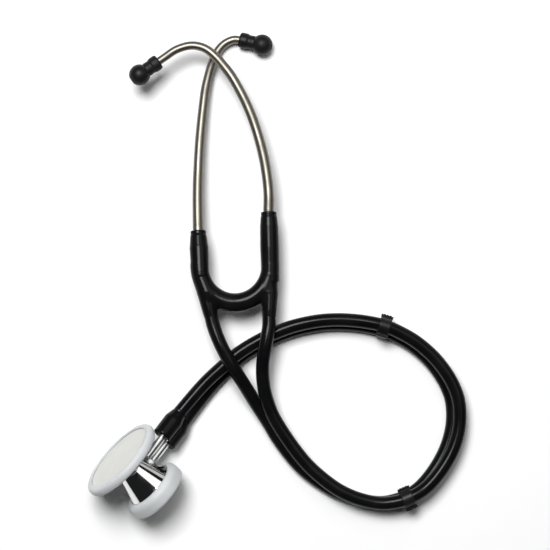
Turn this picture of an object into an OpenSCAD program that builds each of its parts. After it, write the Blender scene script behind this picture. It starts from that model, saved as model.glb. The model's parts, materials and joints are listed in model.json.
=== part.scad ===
// Dual-tube stethoscope lying on a table, in millimetres, +Z up from the table.
// The ear tubes point along +Y. The origin is on the table, under the middle of the
// headset and chestpiece.

/* [Hose] */
// Outer diameter of each rubber hose
hose_d = 8; // [7.6:0.1:8]
// Distance between the centrelines of the paired hoses
hose_pitch = 8.4; // [8.4:0.1:8.6]
// Gap between the lowest hose and the table
table_gap = 0.3; // [0.2:0.1:0.5]
// Outer diameter of the thick moulded hose ends
cuff_d = 11.6; // [11:0.1:11.8]
// Length of the thick moulded hose ends
cuff_length = 17.5; // [15.5:0.5:18]

/* [Headset] */
// Diameter of the ear tubes at the yoke
ear_tube_d = 6.4; // [6:0.1:6.6]
// Diameter of the ear tubes at the ear tips
ear_tube_tip_d = 4.6; // [4.4:0.1:5]
// Wall of the ear tubes
ear_tube_wall = 0.8; // [0.6:0.1:1]
// Diameter of the yoke's arms where they flex
arm_d = 11.2; // [10.8:0.1:11.4]
// Diameter of the yoke's U-shaped band
band_d = 10.4; // [9.8:0.1:10.8]
// Diameter of the ear tip's bulb
tip_bulb_d = 12.6; // [11.6:0.1:12.8]

/* [Chestpiece] */
// Outer diameter of the soft rim around the diaphragm
large_rim_d = 51.8; // [51.4:0.2:52.6]
// Outer diameter of the soft rim around the bell
small_rim_d = 37.4; // [36.4:0.2:37.8]
// Diameter of the valve's collar
collar_d = 15.6; // [15.2:0.2:16]
// Distance between the centrelines of the two metal stems
stem_pitch = 6.6; // [6.2:0.1:7]
// Diameter of the two metal stems
stem_d = 5.2; // [4.8:0.1:5.4]
// Radial clearance between the valve spindle and the head
valve_clearance = 0.05; // [0.03:0.01:0.08]

/* [Hidden] */
$fn = 64;

// Places and directions in the headset
yoke_z = 19;
band_centre = [29.3, 4.5, yoke_z];
band_r = 21;
left_pivot = [8.6, 6, yoke_z];
right_pivot = [50.1, 6, yoke_z];
left_arm_pitch = -5.6;
left_arm_yaw = 3;
right_arm_yaw = 1.5;
left_arm_length = 19;
right_arm_length = 30;
arm_top_d = 9.6;
flex_gap = 0.3;
tube_insertion = 12.5;
tube_clearance = 0.06;
left_exit = [15.6, -26.5, 20];
right_exit = [49.6, -26.5, 20.2];
left_root = left_pivot + [0.6, -6, 0];
right_root = right_pivot + [0.4, -6, 0];
neck_root_d = 10.4;
neck_d = 9.6;
sound_bore_d = 3.6;
spring_angle = 150;
spring_width = 5;
spring_thickness = 0.8;
sleeve_taper = 9;
sleeve_rounding = 0.8;

// Ear tube centrelines from the top of each sleeve to the ear tip: x, y, z
left_tube_route = [
    [7.3, 34, 15.8], [7.1, 47, 14.5], [7.3, 60, 13.2], [7.9, 75, 11.7],
    [9, 90, 10.2], [11, 109, 8.2], [12.7, 118, 7.1], [15, 126.5, 5.9],
    [18, 134, 4.9], [22, 138.9, 4.7], [27, 141.6, 4.9], [31.2, 141.7, 5.4],
    [34.9, 140.9, 5.8]
];
right_tube_route = [
    [49.3, 46, 19.5], [48.4, 56, 19.5], [46, 70, 19.5], [41.3, 87, 19.5],
    [35.6, 101.5, 19.5], [28.3, 115.2, 19.5], [22.5, 123.2, 19.5], [17, 129.4, 19.5],
    [10.8, 133.9, 19.5], [3, 135.4, 19.5], [-5.5, 133, 19.6], [-12.5, 128.3, 19.9],
    [-18.6, 123.9, 20.2]
];

// Hose routes. The hoses leave the yoke one by one, straight at first: x, y, z
straight_start = 5;
left_hose_lead = [
    [19.6, -39, 20.7], [23.1, -46.5, 20.9], [27.3, -54, 20.2],
    [32.1, -61.5, 17.5], [36.8, -69, 13.4], [41.6, -76.8, 9.1]
];
right_hose_lead = [
    [48.4, -38, 20.9], [47.1, -45, 20.6], [45.9, -53, 19.1],
    [45.8, -61, 17], [46.8, -69, 15.1], [49, -77, 13.9]
];
// Then they run as a pair along this middle line: x, y, lean of the pair in degrees
// (the right hose is on top and leans outward), lift off the table
pair_route = [
    [50.3, -86, -32, 1.6], [58, -98.5, -32, 0.3], [69, -112.5, -28, 0],
    [80, -122, -20, 0], [91, -129, -12, 0], [103, -133.5, -5, 0], [116, -135.5, 0, 0.3],
    [127.2, -133.6, 5, 0.9], [134.2, -130.6, 8, 0.9], [142, -124.8, 15, 0.3],
    [150, -115, 20, 0], [156.5, -103, 24, 0], [160, -90, 25, 0], [160, -77, 24, 0],
    [157, -67, 22, 0], [151.5, -57.5, 20, 0], [144, -48.5, 18, 0], [133.5, -40, 17, 0.3],
    [121, -33.5, 16, 0.9], [114, -31.3, 16, 0.9], [103, -29.3, 15, 0.3],
    [90, -28.5, 15, 0], [77, -29.5, 15, 0], [62, -33, 15, 0], [46.5, -39.5, 15, 0],
    [33, -47.5, 16, 0], [22.5, -56.7, 20, 0], [12, -67.3, 27, 0.1]
];
// The pair runs straight through each clip, from this point of the route to the next
lower_clip_from = 7;
upper_clip_from = 18;

// The stems' axis leaves the head's centre; the head turns about it
head_centre = [-26, -119.1, 23.4];
stem_yaw = 53.3;
stem_drop = 18;
pair_lean = 34;
head_roll = -69.3;
collar_start = 7.2;
collar_length = 3.4;
cuff_start = 26;
straight_end = 2.5;
hose_r = hose_d / 2;
cuff_end = cuff_start + cuff_length;
cuff_shoulder = 4;
cuff_gap = 0.3;
stem_grip = 14;
clip_width = 7;
clip_wall = 0.9;
clip_gap = 0.2;
clip_throat = 3;
clip_tab = 2.2;
clip_tab_t = 1.6;
stem_wall = 0.8;
stem_seat = 1.6;

// Ends of the ear tubes: stations from the tube's end, positive towards the ear
bend_start = 2;
ferrule_d = 6;
ferrule_length = 5;
ferrule_gap = 0.25;
tip_bore_d = 2.6;
tip_back = -3.2;
tip_collar_length = 5.2;
tip_collar_r = 4.6;
tip_waist_r = 4.1;
tip_pocket_r = 3.45;
tip_pocket_depth = 7.2;
bulb_centre = 10.8;

// Valve stations along the stems' axis, and the detent's along the head's
head_gap = 0.3;
head_bore_r = 1.6;
spindle_r = 4.4;
spindle_back = -6.4;
spigot_r = 3.8;
passage_offset = 1.9;
passage_r = 1.1;
seal_x = -4;
seal_r = 0.3;
screw_r = 1.5;
screw_length = 4.6;
screw_head_x = -8.2;
screw_head_r = 3.2;
screw_head_t = 1.6;
detent_x = 5.2;
detent_r = 1.3;
groove_depth = 0.6;
ball_r = 1.2;
ball_y = spindle_r - groove_depth + ball_r + 0.02;
plug_y = 8.4;

// The chestpiece's stations along the head's own axis, positive to the diaphragm
flange_r = 24.2;
diaphragm_r = 22.4;
retainer_lip = 0.8;
flange_back = 12.8;
seat = 16.1;
diaphragm_t = 0.45;
retainer_t = 0.5;
rim_front = 17.6;
rim_back = 12.1;

// ---- Small helpers ----

function unit(v) = v / norm(v);

function tangent(route, i) =
    unit(route[min(i + 1, len(route) - 1)] - route[max(i - 1, 0)]);

function side_of(t) = unit(cross(t, [0, 0, 1]));

// One ring of n points of radius r around point p, square to direction t
function ring(p, t, r, n) = [
    for (k = [0:n - 1])
        p + r * cos(360 * k / n) * side_of(t) + r * sin(360 * k / n) * cross(side_of(t), t)
];

// A closed tube through the points of a route, with one radius per point
module swept_tube(route, radii, sides) {
    rings = len(route);
    points = [
        for (i = [0:rings - 1])
            each ring(route[i], tangent(route, i), radii[i], sides)
    ];
    walls = [
        for (i = [0:rings - 2], k = [0:sides - 1])
            each [
                [i * sides + k, (i + 1) * sides + (k + 1) % sides, (i + 1) * sides + k],
                [i * sides + k, i * sides + (k + 1) % sides, (i + 1) * sides + (k + 1) % sides]
            ]
    ];
    first_cap = [for (k = [sides - 1:-1:0]) k];
    last_cap = [for (k = [0:sides - 1]) (rings - 1) * sides + k];
    polyhedron(points, concat([first_cap], walls, [last_cap]));
}

// A smooth route through the given points, with steps points to each stretch
function curve_point(a, b, c, d, t) =
    0.5 * (2 * b + (c - a) * t + (2 * a - 5 * b + 4 * c - d) * t * t
    + (3 * b - a - 3 * c + d) * t * t * t);
function smooth_route(p, steps) = [
    for (i = [0:len(p) - 2], k = [0:steps - 1])
        curve_point(p[max(i - 1, 0)], p[i], p[i + 1], p[min(i + 2, len(p) - 1)], k / steps),
    p[len(p) - 1]
];

// The pair's middle line in space
function pair_middle(q) = [
    q[0], q[1], table_gap + hose_r + hose_pitch / 2 * cos(q[2]) + q[3]
];
middle_line = [for (q = pair_route) pair_middle(q)];

// One hose of the pair: side 1 is the upper, right hose and side -1 the lower, left one
function pair_offset(t, lean) =
    hose_pitch / 2 * (sin(lean) * side_of(t) + cos(lean) * cross(side_of(t), t));
function pair_point(i, side) =
    middle_line[i] + side * pair_offset(tangent(middle_line, i), pair_route[i][2]);
function pair_side(side) = [for (i = [0:len(pair_route) - 1]) pair_point(i, side)];

// A direction along the stems, and a place on one hose where it comes straight to its cuff
stem_direction = [
    cos(stem_drop) * cos(stem_yaw), cos(stem_drop) * sin(stem_yaw), -sin(stem_drop)
];
function before_cuff(side, d) =
    head_centre + (cuff_end + d) * stem_direction
    + side * pair_offset(-stem_direction, pair_lean);

// A hose route: straight out of its neck, along its lead and the pair, straight to its cuff
function hose_route(root, exit, lead, side) = concat(
    [exit, exit + straight_start * unit(exit - root)],
    lead,
    pair_side(side),
    [before_cuff(side, straight_end), before_cuff(side, 0)]
);
left_hose_route = hose_route(left_root, left_exit, left_hose_lead, -1);
right_hose_route = hose_route(right_root, right_exit, right_hose_lead, 1);

// Places children with X along the stems, Y to their left and Z up
module at_stems() {
    translate(head_centre)
        rotate([0, 0, stem_yaw])
            rotate([0, stem_drop, 0])
                children();
}

// Places children with Z along the head's axis towards the diaphragm, X along the stems
module at_head() {
    at_stems()
        rotate([head_roll, 0, 0])
            children();
}

// Places children on one of a pair of axes along the stems: side 1 is the upper one
module at_side(side, pitch) {
    at_stems()
        rotate([-pair_lean, 0, 0])
            translate([0, 0, side * pitch / 2])
                children();
}

// Turns a shape made along Z so that it lies along X
module along_x() {
    rotate([0, 90, 0]) children();
}

// Turns a shape made along Z so that it lies along Y
module along_y() {
    rotate([-90, 0, 0]) children();
}

// Places children in an arm's own frame: origin at its flex line, +Y along the arm
module at_left_arm() {
    translate(left_pivot)
        rotate([left_arm_pitch, 0, 0])
            rotate([0, 0, left_arm_yaw])
                children();
}
module at_right_arm() {
    translate(right_pivot)
        rotate([0, 0, right_arm_yaw])
            children();
}

// ---- Yoke ----

// Places children with Z from one point level towards another
module along_neck(from, to) {
    d = unit(to - from);
    translate(from)
        rotate([0, acos(d[2]), atan2(d[1], d[0])])
            children();
}
// A moulded neck from the band to the place where a hose leaves
module neck(from, to) {
    along_neck(from, to) cylinder(d1 = neck_root_d, d2 = neck_d, h = norm(to - from));
}
module neck_bore(from, to) {
    along_neck(from, to)
        translate([0, 0, -arm_d / 2])
            cylinder(d = sound_bore_d, h = norm(to - from) + arm_d);
}
module half_band(section_d) {
    translate(band_centre)
        rotate([0, 0, 180])
            rotate_extrude(angle = 180)
                translate([band_r, 0])
                    circle(d = section_d);
}
// The leaf spring lies in the band's middle, upright, and stops short of the arms
module spring_strip() {
    translate(band_centre)
        rotate([0, 0, 180 + (180 - spring_angle) / 2])
            rotate_extrude(angle = spring_angle)
                translate([band_r - spring_thickness / 2, -spring_width / 2])
                    square([spring_thickness, spring_width]);
}
// Room in the band for an arm's knuckle, square to the arm
module flex_socket() {
    translate([0, 0, -arm_d])
        cylinder(d = arm_d + 2 * flex_gap, h = 2 * arm_d);
}
module yoke_moulding() {
    color([0.04, 0.04, 0.045])
        difference() {
            union() {
                half_band(band_d);
                neck(left_root, left_exit);
                neck(right_root, right_exit);
            }
            at_left_arm() flex_socket();
            at_right_arm() flex_socket();
            neck_bore(left_root, left_exit);
            neck_bore(right_root, right_exit);
            spring_strip();
        }
}
module leaf_spring() {
    color([0.6, 0.6, 0.62]) spring_strip();
}

// A sleeve with a rounded knuckle at its flex line and a bore for the ear tube
module arm_sleeve(arm_length) {
    taper_start = arm_length - sleeve_taper;
    top_d = arm_top_d - 2 * sleeve_rounding;
    difference() {
        union() {
            translate([0, 0, -arm_d / 2])
                cylinder(d = arm_d, h = arm_d);
            along_y() cylinder(d = arm_d, h = taper_start);
            translate([0, taper_start, 0])
                along_y() cylinder(d1 = arm_d, d2 = arm_top_d, h = sleeve_taper - sleeve_rounding);
            translate([0, arm_length - sleeve_rounding, 0])
                along_y() cylinder(d1 = arm_top_d, d2 = top_d, h = sleeve_rounding);
        }
        translate([0, arm_length - tube_insertion, 0])
            along_y() cylinder(d = ear_tube_d + 2 * tube_clearance, h = tube_insertion + 1);
        translate([0, -arm_d, 0])
            along_y() cylinder(d = sound_bore_d, h = arm_length + arm_d);
    }
}
module left_arm_sleeve() {
    color([0.05, 0.05, 0.055])
        at_left_arm() arm_sleeve(left_arm_length);
}
module right_arm_sleeve() {
    color([0.05, 0.05, 0.055])
        at_right_arm() arm_sleeve(right_arm_length);
}

// ---- Ear tubes and tips ----

// Points on an arm's own axis at a distance from its flex line
function left_arm_point(d) = left_pivot + d * [
    -sin(left_arm_yaw), cos(left_arm_yaw) * cos(left_arm_pitch),
    cos(left_arm_yaw) * sin(left_arm_pitch)
];
function right_arm_point(d) =
    right_pivot + d * [-sin(right_arm_yaw), cos(right_arm_yaw), 0];
left_tube_line = smooth_route(concat(
    [left_arm_point(left_arm_length + bend_start)], left_tube_route), 3);
right_tube_line = smooth_route(concat(
    [right_arm_point(right_arm_length + bend_start)], right_tube_route), 3);

// The tube narrows evenly from the yoke to the ear
function tube_radii(route, wall) = [
    for (i = [0:len(route) - 1])
        (ear_tube_d + (ear_tube_tip_d - ear_tube_d) * i / (len(route) - 1)) / 2 - wall
];
module bent_tube(line) {
    swept_tube(line, tube_radii(line, 0), 16);
}
// The bore runs a little past both ends
module bent_bore(line) {
    last = len(line) - 1;
    past = 0.5;
    longer = concat(
        [line[0] - past * unit(line[1] - line[0])],
        [for (i = [1:last - 1]) line[i]],
        [line[last] + past * unit(line[last] - line[last - 1])]
    );
    swept_tube(longer, tube_radii(line, ear_tube_wall), 12);
}
// The straight end of an ear tube, from just above the bottom of its sleeve's bore
module straight_end(arm_length) {
    bottom_gap = 0.2;
    length = tube_insertion + bend_start - bottom_gap;
    translate([0, arm_length - tube_insertion + bottom_gap, 0])
        along_y() difference() {
            cylinder(d = ear_tube_d, h = length);
            translate([0, 0, -1])
                cylinder(d = ear_tube_d - 2 * ear_tube_wall, h = length + 2);
        }
}
module left_ear_tube() {
    color([0.72, 0.7, 0.66]) {
        at_left_arm() straight_end(left_arm_length);
        difference() {
            bent_tube(left_tube_line);
            bent_bore(left_tube_line);
        }
    }
}
module right_ear_tube() {
    color([0.72, 0.7, 0.66]) {
        at_right_arm() straight_end(right_arm_length);
        difference() {
            bent_tube(right_tube_line);
            bent_bore(right_tube_line);
        }
    }
}

// Places children at the end of an ear tube, with Z along it and out of the end
module at_tube_end(line) {
    last = len(line) - 1;
    d = unit(line[last] - line[last - 1]);
    translate(line[last])
        rotate([0, acos(d[2]), atan2(d[1], d[0])])
            children();
}
// A short barbed sleeve on the tube's end, with a shoulder inside that stops the tube
module tip_ferrule() {
    barb_height = 0.35;
    barb_pitch = 1.5;
    barb_length = 1;
    stop_depth = 1.5;
    difference() {
        union() {
            translate([0, 0, -stop_depth])
                cylinder(d = ferrule_d, h = ferrule_length);
            for (k = [0:2])
                translate([0, 0, -stop_depth + barb_length / 2 + barb_pitch * k])
                    cylinder(
                        d1 = ferrule_d + 2 * barb_height, d2 = ferrule_d, h = barb_length
                    );
        }
        translate([0, 0, -stop_depth - 1])
            cylinder(d = ear_tube_tip_d + 2 * ferrule_gap, h = stop_depth + 1);
        translate([0, 0, -ferrule_length])
            cylinder(d = tip_bore_d, h = 3 * ferrule_length);
    }
}
module left_tip_ferrule() {
    color([0.75, 0.75, 0.76])
        at_tube_end(left_tube_line) tip_ferrule();
}
module right_tip_ferrule() {
    color([0.75, 0.75, 0.76])
        at_tube_end(right_tube_line) tip_ferrule();
}
// Half outline of the soft ear tip, with a pocket for the ferrule and a sound hole
module tip_outline() {
    bulb_r = tip_bulb_d / 2;
    edge_r = 0.6;
    mouth_r = 2.2;
    mouth_depth = 1.2;
    difference() {
        union() {
            translate([0, tip_back + edge_r])
                square([tip_collar_r, tip_collar_length - 2 * edge_r]);
            translate([0, tip_back])
                square([tip_collar_r - edge_r, tip_collar_length]);
            for (y = [edge_r, tip_collar_length - edge_r])
                translate([tip_collar_r - edge_r, tip_back + y]) circle(r = edge_r);
            square([tip_waist_r, bulb_centre]);
            translate([0, bulb_centre]) intersection() {
                circle(r = bulb_r);
                translate([0, -bulb_r]) square([bulb_r, 2 * bulb_r]);
            }
        }
        translate([-1, tip_back - 1])
            square([1 + tip_pocket_r, 1 + tip_pocket_depth]);
        translate([-1, 0])
            square([1 + tip_bore_d / 2, bulb_centre + bulb_r + 1]);
        translate([-2, bulb_centre + bulb_r - mouth_depth])
            square([2 + mouth_r, 2 * mouth_depth]);
        translate([-2 * bulb_r, -bulb_r]) square([2 * bulb_r, 6 * bulb_r]);
    }
}
module ear_tip() {
    rotate_extrude() tip_outline();
}
module left_ear_tip() {
    color([0.06, 0.06, 0.06])
        at_tube_end(left_tube_line) ear_tip();
}
module right_ear_tip() {
    color([0.06, 0.06, 0.06])
        at_tube_end(right_tube_line) ear_tip();
}

// ---- Hoses, cuffs and clips ----

module hose(route) {
    swept_tube(route, [for (p = route) hose_r], 10);
}
module left_hose() {
    color([0.03, 0.03, 0.035]) hose(left_hose_route);
}
module right_hose() {
    color([0.03, 0.03, 0.035]) hose(right_hose_route);
}

// A thick moulded end with a flat side towards its neighbour and a bore for the stem
module hose_cuff(side) {
    flat_at = hose_pitch / 2 - cuff_gap / 2;
    body_length = cuff_length - cuff_shoulder;
    bore_z = side * (stem_pitch - hose_pitch) / 2;
    at_side(side, hose_pitch)
        translate([cuff_start, 0, 0])
            difference() {
                union() {
                    along_x() cylinder(d = cuff_d, h = body_length);
                    translate([body_length, 0, 0])
                        along_x() cylinder(d1 = cuff_d, d2 = hose_d, h = cuff_shoulder);
                }
                translate([-1, -cuff_d, -side * (flat_at + cuff_d / 2) - cuff_d / 2])
                    cube([cuff_length + 2, 2 * cuff_d, cuff_d]);
                translate([-1, 0, bore_z])
                    along_x() cylinder(d = stem_d, h = stem_grip + 1);
                translate([-1, 0, bore_z])
                    along_x() cylinder(d = sound_bore_d, h = cuff_length + 2);
            }
}
module left_hose_cuff() {
    color([0.04, 0.04, 0.045]) hose_cuff(-1);
}
module right_hose_cuff() {
    color([0.04, 0.04, 0.045]) hose_cuff(1);
}

// A band around both hoses with a short grip tab on each side
module hose_clip(from) {
    run = middle_line[from + 1] - middle_line[from];
    travel = unit(run);
    lean = (pair_route[from][2] + pair_route[from + 1][2]) / 2;
    half = hose_pitch / 2;
    outer_r = hose_r + clip_wall;
    translate(middle_line[from] + run / 2)
        rotate([0, -asin(travel[2]), atan2(travel[1], travel[0])])
            rotate([lean, 0, 0])
                translate([-clip_width / 2, 0, 0])
                    difference() {
                        union() {
                            for (s = [-1, 1])
                                translate([0, 0, s * half])
                                    along_x() cylinder(r = outer_r, h = clip_width);
                            translate([0, -outer_r, -half])
                                cube([clip_width, 2 * outer_r, 2 * half]);
                            translate([0, -outer_r - clip_tab, half - clip_tab_t / 2])
                                cube([clip_width, 2 * (outer_r + clip_tab), clip_tab_t]);
                        }
                        for (s = [-1, 1])
                            translate([-1, 0, s * half])
                                along_x() cylinder(r = hose_r + clip_gap, h = clip_width + 2);
                        translate([-1, -clip_throat / 2, -half])
                            cube([clip_width + 2, clip_throat, 2 * half]);
                    }
}
module upper_hose_clip() {
    color([0.05, 0.05, 0.05]) hose_clip(upper_clip_from);
}
module lower_hose_clip() {
    color([0.05, 0.05, 0.05]) hose_clip(lower_clip_from);
}

// ---- Valve ----

// A stem runs from its seat in the collar to the end of its grip in the cuff
module stem(side) {
    length = cuff_start + stem_grip - collar_start - stem_seat;
    at_side(side, stem_pitch)
        translate([collar_start + stem_seat, 0, 0])
            along_x() difference() {
                cylinder(d = stem_d, h = length);
                translate([0, 0, -1]) cylinder(d = stem_d - 2 * stem_wall, h = length + 2);
            }
}
module left_stem() {
    color([0.8, 0.8, 0.82]) stem(-1);
}
module right_stem() {
    color([0.8, 0.8, 0.82]) stem(1);
}
// Half outline of the collar: x is the radius, y the place along the stems
module collar_outline() {
    r = collar_d / 2;
    edge = 0.6;
    groove_from = 1.6;
    groove_to = 2.6;
    groove_slope = 0.3;
    groove_r = r - 0.5;
    polygon([
        [0, 0], [r - edge, 0], [r, edge], [r, groove_from],
        [groove_r, groove_from + groove_slope], [groove_r, groove_to - groove_slope],
        [r, groove_to], [r, collar_length - edge], [r - edge, collar_length],
        [0, collar_length]
    ]);
}
module valve_collar() {
    color([0.78, 0.78, 0.8])
        difference() {
            at_stems()
                translate([collar_start, 0, 0])
                    along_x() rotate_extrude() collar_outline();
            for (side = [-1, 1])
                at_side(side, stem_pitch)
                    translate([collar_start + stem_seat, 0, 0])
                        along_x() cylinder(d = stem_d, h = collar_length);
            at_stems()
                translate([collar_start - 1, 0, 0])
                    along_x() cylinder(r = spigot_r, h = 1 + stem_seat);
        }
}
// The spindle turns in the head; it has one sound passage to each stem
module valve_spindle() {
    shank = collar_start - head_gap - spindle_back;
    color([0.7, 0.7, 0.72])
        at_stems()
            difference() {
                union() {
                    translate([spindle_back, 0, 0])
                        along_x() cylinder(r = spindle_r, h = shank);
                    translate([spindle_back, 0, 0])
                        along_x() cylinder(r = spigot_r, h = shank + head_gap + stem_seat);
                }
                for (s = [-1, 1])
                    rotate([-pair_lean, 0, 0])
                        translate([-1, 0, passage_offset * s])
                            along_x() cylinder(r = passage_r, h = 20);
                rotate([head_roll, 0, 0])
                    translate([0, 0, -2 * spindle_r])
                        cylinder(r = head_bore_r - 0.2, h = 4 * spindle_r);
                translate([spindle_back - 1, 0, 0])
                    along_x() cylinder(r = screw_r, h = screw_length);
                translate([detent_x, 0, 0])
                    along_x() rotate_extrude()
                        translate([spindle_r - groove_depth + ball_r, 0])
                            circle(r = ball_r + 0.05);
                translate([seal_x, 0, 0])
                    along_x() rotate_extrude()
                        translate([spindle_r - 2 * seal_r, -seal_r - 0.1])
                            square([2 * seal_r + 1, 2 * seal_r + 0.2]);
            }
}
module spindle_o_ring() {
    color([0.1, 0.1, 0.1])
        at_stems()
            translate([seal_x, 0, 0])
                along_x() rotate_extrude()
                    translate([spindle_r - seal_r, 0]) circle(r = seal_r);
}
module retaining_screw() {
    slot_depth = 0.8;
    color([0.7, 0.7, 0.72])
        at_stems()
            translate([screw_head_x - screw_head_t, 0, 0])
                difference() {
                    union() {
                        along_x() cylinder(r = screw_head_r, h = screw_head_t);
                        along_x() cylinder(r = screw_r, h = screw_head_t + screw_length);
                    }
                    translate([-1, -screw_head_r - 1, -slot_depth / 2])
                        cube([1 + slot_depth, 2 * screw_head_r + 2, slot_depth]);
                }
}

// ---- Head ----

// Half outline of the turned head: x is the radius, y the place along its axis
module head_outline() {
    polygon([
        [head_bore_r, seat - 1.2], [19.5, seat - 0.6], [21.4, seat], [flange_r, seat],
        [flange_r, flange_back + 0.4], [23.4, flange_back], [13, 11.8], [10.4, 10.8],
        [9.2, 9.2], [9, 6.9], [14.1, -7.2], [14.6, -8], [15.8, -10], [16.2, -12],
        [16.2, -16.2], [14.9, -16.6], [14.6, -14], [13.2, -11], [9.6, -8.8],
        [5, -7.4], [head_bore_r, -6.9]
    ]);
}
module head_body() {
    hub_r = 4;
    color([0.78, 0.78, 0.8])
        difference() {
            union() {
                at_head() rotate_extrude() head_outline();
                at_head() translate([0, 0, -6]) cylinder(r = hub_r, h = 18);
                at_stems() along_x() cylinder(d = collar_d, h = collar_start - head_gap);
            }
            at_stems() {
                translate([collar_start - head_gap, 0, 0])
                    along_x() cylinder(d = collar_d + 1, h = 2 * collar_d);
                translate([spindle_back - 0.1, 0, 0])
                    along_x() cylinder(r = spindle_r + valve_clearance, h = 30);
                translate([-flange_r, 0, 0])
                    along_x() cylinder(r = screw_r + 0.4, h = flange_r);
                translate([-flange_r, 0, 0])
                    along_x() cylinder(r = screw_head_r + 0.4, h = flange_r + screw_head_x + 0.1);
            }
            at_head() {
                translate([0, 0, -flange_r]) cylinder(r = head_bore_r, h = 2 * flange_r);
                translate([detent_x, 0, 0])
                    along_y() cylinder(r = detent_r, h = flange_r);
            }
        }
}
module detent_ball() {
    color([0.8, 0.8, 0.8])
        at_head()
            translate([detent_x, ball_y, 0]) sphere(r = ball_r);
}
module detent_spring() {
    wire_r = 0.2;
    coils = 4;
    start = ball_y + ball_r;
    pitch = (plug_y - start) / coils;
    color([0.6, 0.6, 0.62])
        at_head()
            for (k = [0:coils - 1])
                translate([detent_x, start + pitch * (k + 0.5), 0])
                    along_y() rotate_extrude($fn = 32)
                        translate([detent_r - wire_r - 0.15, 0]) circle(r = wire_r, $fn = 16);
}
module detent_plug() {
    key_r = 0.7;
    color([0.7, 0.7, 0.72])
        at_head()
            translate([detent_x, plug_y, 0])
                along_y() difference() {
                    cylinder(r = detent_r, h = 2 * key_r);
                    translate([0, 0, key_r]) cylinder(r = key_r, h = 1, $fn = 6);
                }
}
module diaphragm() {
    color([0.82, 0.82, 0.8])
        at_head()
            translate([0, 0, seat]) cylinder(r = diaphragm_r, h = diaphragm_t);
}
module diaphragm_retainer() {
    color([0.75, 0.75, 0.76])
        at_head()
            difference() {
                translate([0, 0, seat]) cylinder(r = flange_r, h = diaphragm_t + retainer_t);
                translate([0, 0, seat - 1]) cylinder(r = diaphragm_r, h = 1 + diaphragm_t);
                translate([0, 0, seat]) cylinder(r = diaphragm_r - retainer_lip, h = 3);
            }
}
// Soft ring that wraps the edge of the diaphragm's cup
module diaphragm_rim() {
    outer_r = large_rim_d / 2;
    inner_top = seat + diaphragm_t + retainer_t;
    color([0.8, 0.82, 0.84])
        at_head() rotate_extrude() polygon([
            [22, inner_top], [flange_r, inner_top], [flange_r, flange_back + 0.4],
            [23.4, flange_back], [21.6, flange_back - 0.2], [21.6, rim_back + 0.1],
            [24.2, rim_back], [25.3, rim_back + 0.7], [outer_r, rim_back + 2],
            [outer_r, rim_front - 1.8], [25.3, rim_front - 0.7],
            [24.4, rim_front - 0.1], [23.2, rim_front], [22, rim_front]
        ]);
}
// Soft ring that wraps the bell's lip
module bell_rim() {
    outer_r = small_rim_d / 2;
    color([0.8, 0.82, 0.86])
        at_head() rotate_extrude() polygon([
            [14.6, -8], [15.8, -10], [16.2, -12], [16.2, -16.2], [14.9, -16.6],
            [14.9, -17.2], [15.5, -17.4], [17.2, -17.4], [18.2, -16.9],
            [outer_r, -15.8], [outer_r, -11.4], [18.2, -9.8], [17.2, -8.6], [15.6, -8]
        ]);
}

yoke_moulding();
leaf_spring();
left_arm_sleeve();
right_arm_sleeve();
left_ear_tube();
right_ear_tube();
left_tip_ferrule();
right_tip_ferrule();
left_ear_tip();
right_ear_tip();
left_hose();
right_hose();
upper_hose_clip();
lower_hose_clip();
left_hose_cuff();
right_hose_cuff();
left_stem();
right_stem();
valve_collar();
valve_spindle();
spindle_o_ring();
retaining_screw();
head_body();
detent_ball();
detent_spring();
detent_plug();
diaphragm();
diaphragm_retainer();
diaphragm_rim();
bell_rim();
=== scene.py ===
"""The looks of a dual-tube stethoscope that lies on a table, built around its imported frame."""

import json
import math

import bmesh
import bpy
import numpy as np
from mathutils import Matrix, Vector


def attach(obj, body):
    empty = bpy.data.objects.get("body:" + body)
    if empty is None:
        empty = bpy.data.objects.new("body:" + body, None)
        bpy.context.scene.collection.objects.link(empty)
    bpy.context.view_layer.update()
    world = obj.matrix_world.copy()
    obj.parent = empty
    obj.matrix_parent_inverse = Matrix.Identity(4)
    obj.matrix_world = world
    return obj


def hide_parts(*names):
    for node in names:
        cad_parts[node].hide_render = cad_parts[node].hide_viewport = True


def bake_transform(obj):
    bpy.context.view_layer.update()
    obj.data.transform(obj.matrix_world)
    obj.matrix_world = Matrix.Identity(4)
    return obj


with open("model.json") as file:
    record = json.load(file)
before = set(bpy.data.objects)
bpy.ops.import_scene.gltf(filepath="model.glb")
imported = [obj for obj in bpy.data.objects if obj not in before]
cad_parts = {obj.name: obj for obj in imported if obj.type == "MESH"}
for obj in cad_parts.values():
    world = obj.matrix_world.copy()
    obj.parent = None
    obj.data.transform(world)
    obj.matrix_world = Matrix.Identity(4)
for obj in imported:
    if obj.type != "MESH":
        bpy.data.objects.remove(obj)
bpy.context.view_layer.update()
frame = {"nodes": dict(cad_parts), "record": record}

MM = 0.001
joints = {j["name"]: j for j in frame["record"]["behaviour"]["joints"]}
mounts = {m["name"]: m for m in frame["record"]["mounts"]}


def unit(v):
    return np.asarray(v, float) / np.linalg.norm(v)


# ---------------------------------------------------------------- camera

VIEW_TARGET = Vector((0.053, 0.0, 0.0))
VIEW_DISTANCE = 1.1
VIEW_ELEVATION = math.radians(86)
VIEW_WIDTH = 0.33  # what the picture spans at the table
SENSOR_WIDTH = 36

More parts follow.
